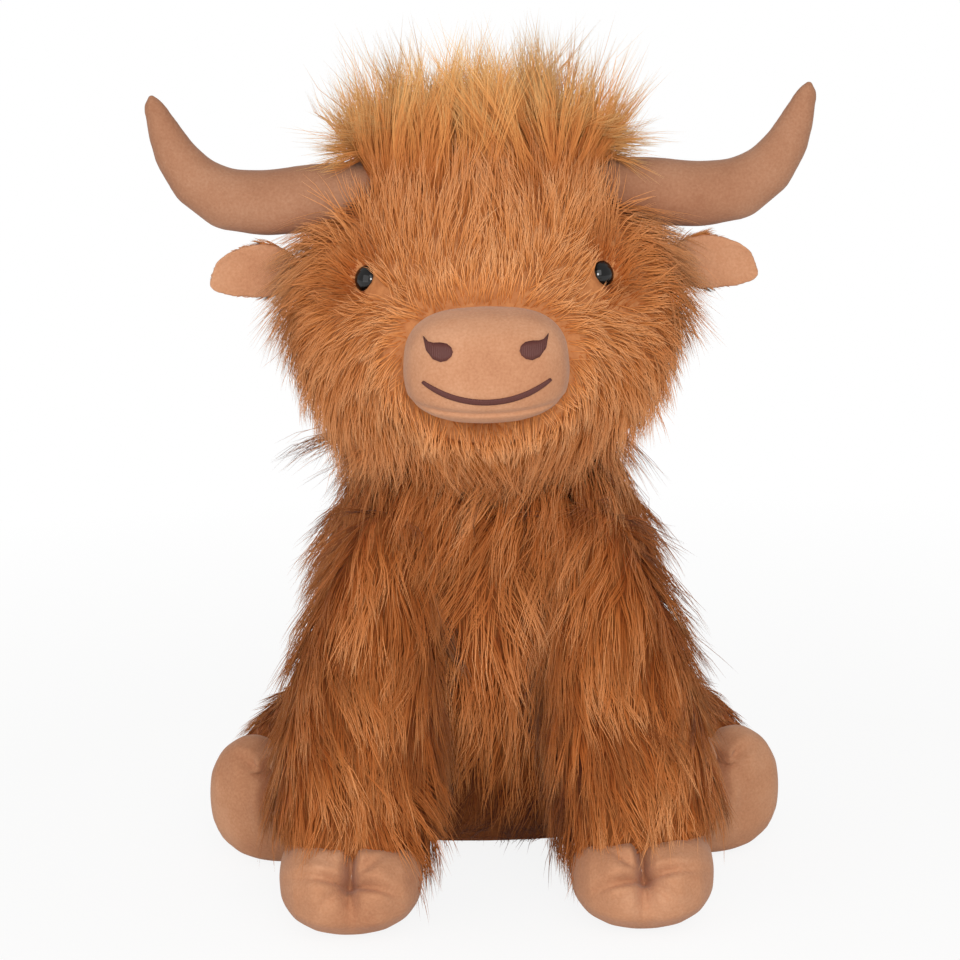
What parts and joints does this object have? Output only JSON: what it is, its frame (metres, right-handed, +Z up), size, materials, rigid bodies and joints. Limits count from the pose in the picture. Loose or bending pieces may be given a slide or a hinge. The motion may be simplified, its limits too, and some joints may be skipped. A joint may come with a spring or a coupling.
{
  "type": "plush highland cow",
  "caption": "Seated plush highland cow with long shaggy fur, upright crest, curved cloth horns, smiling cloth muzzle and cloven cloth hooves; sewn limbs, ears, tail and head flex.",
  "frame": {"origin": "on the seat's flat patch, on the floor, midway between left and right", "axes": "+Z up; the cow faces -Y; +X is the cow's own left"},
  "size_m": [0.285, 0.2685, 0.358],
  "materials": {
    "long_pile_fur": "long shaggy polyester pile on a knitted backing, brown-orange with paler tips",
    "short_pile_cloth": "short-pile plush cloth, tan, matte",
    "embroidery_thread": "satin stitch, dark red-brown",
    "eye_plastic": "polished black",
    "polyester_stuffing": "loose white polyester fibre",
    "pouch_cloth": "plain woven pouch, off-white",
    "washer_plastic": "moulded white plastic"
  },
  "bodies": {
    "torso": {"torso_cover": "long_pile_fur", "torso_filling": "polyester_stuffing", "pellet_pouch": "pouch_cloth"},
    "head": {"head_cover": "long_pile_fur", "head_filling": "polyester_stuffing", "muzzle_cover": "short_pile_cloth", "mouth": "embroidery_thread", "forelock": "long_pile_fur", "left_nostril": "embroidery_thread", "left_eye": "eye_plastic", "left_eye_washer": "washer_plastic", "left_horn_cover": "short_pile_cloth", "left_horn_filling": "polyester_stuffing", "right_nostril": "embroidery_thread", "right_eye": "eye_plastic", "right_eye_washer": "washer_plastic", "right_horn_cover": "short_pile_cloth", "right_horn_filling": "polyester_stuffing"},
    "tail": {"tail_cover": "long_pile_fur", "tail_tuft": "long_pile_fur"},
    "left_ear": {"left_ear_back": "long_pile_fur", "left_ear_lining": "short_pile_cloth"},
    "left_front_leg": {"left_front_leg_cover": "long_pile_fur", "left_front_hoof_cover": "short_pile_cloth", "left_front_leg_filling": "polyester_stuffing"},
    "left_hind_leg": {"left_hind_leg_cover": "long_pile_fur", "left_hind_hoof_cover": "short_pile_cloth", "left_hind_leg_filling": "polyester_stuffing"},
    "right_ear": {"right_ear_back": "long_pile_fur", "right_ear_lining": "short_pile_cloth"},
    "right_front_leg": {"right_front_leg_cover": "long_pile_fur", "right_front_hoof_cover": "short_pile_cloth", "right_front_leg_filling": "polyester_stuffing"},
    "right_hind_leg": {"right_hind_leg_cover": "long_pile_fur", "right_hind_hoof_cover": "short_pile_cloth", "right_hind_leg_filling": "polyester_stuffing"}
  },
  "joints": [
    {"name": "head_turn", "type": "hinge", "parent": "torso", "child": "head", "pos_m": [0, -0.025, 0.168], "axis": [0, 0, 1], "range_deg": [-20, 20], "stiffness_Nm_per_rad": 0.08},
    {"name": "left_front_leg_lift", "type": "hinge", "parent": "torso", "child": "left_front_leg", "pos_m": [0.042, -0.07093, 0.169], "axis": [-1, 0, 0], "range_deg": [0, 45], "stiffness_Nm_per_rad": 0.05},
    {"name": "left_hind_leg_splay", "type": "hinge", "parent": "torso", "child": "left_hind_leg", "pos_m": [0.03359, 0.05988, 0.036], "axis": [0, 0, 1], "range_deg": [0, 25], "stiffness_Nm_per_rad": 0.05},
    {"name": "left_ear_fold", "type": "hinge", "parent": "head", "child": "left_ear", "pos_m": [0.07965, -0.059, 0.26569], "axis": [-0.3409, 0, 0.9401], "range_deg": [-30, 30], "stiffness_Nm_per_rad": 0.004},
    {"name": "right_front_leg_lift", "type": "hinge", "parent": "torso", "child": "right_front_leg", "pos_m": [-0.042, -0.07093, 0.169], "axis": [-1, 0, 0], "range_deg": [0, 45], "stiffness_Nm_per_rad": 0.05},
    {"name": "right_hind_leg_splay", "type": "hinge", "parent": "torso", "child": "right_hind_leg", "pos_m": [-0.03359, 0.05988, 0.036], "axis": [0, 0, -1], "range_deg": [0, 25], "stiffness_Nm_per_rad": 0.05},
    {"name": "right_ear_fold", "type": "hinge", "parent": "head", "child": "right_ear", "pos_m": [-0.07965, -0.059, 0.26569], "axis": [0.3409, 0, 0.9401], "range_deg": [-30, 30], "stiffness_Nm_per_rad": 0.004},
    {"name": "tail_wag", "type": "hinge", "parent": "torso", "child": "tail", "pos_m": [0, 0.06802, 0.062], "axis": [0, 1, 0], "range_deg": [-15, 15], "stiffness_Nm_per_rad": 0.004}
  ]
}
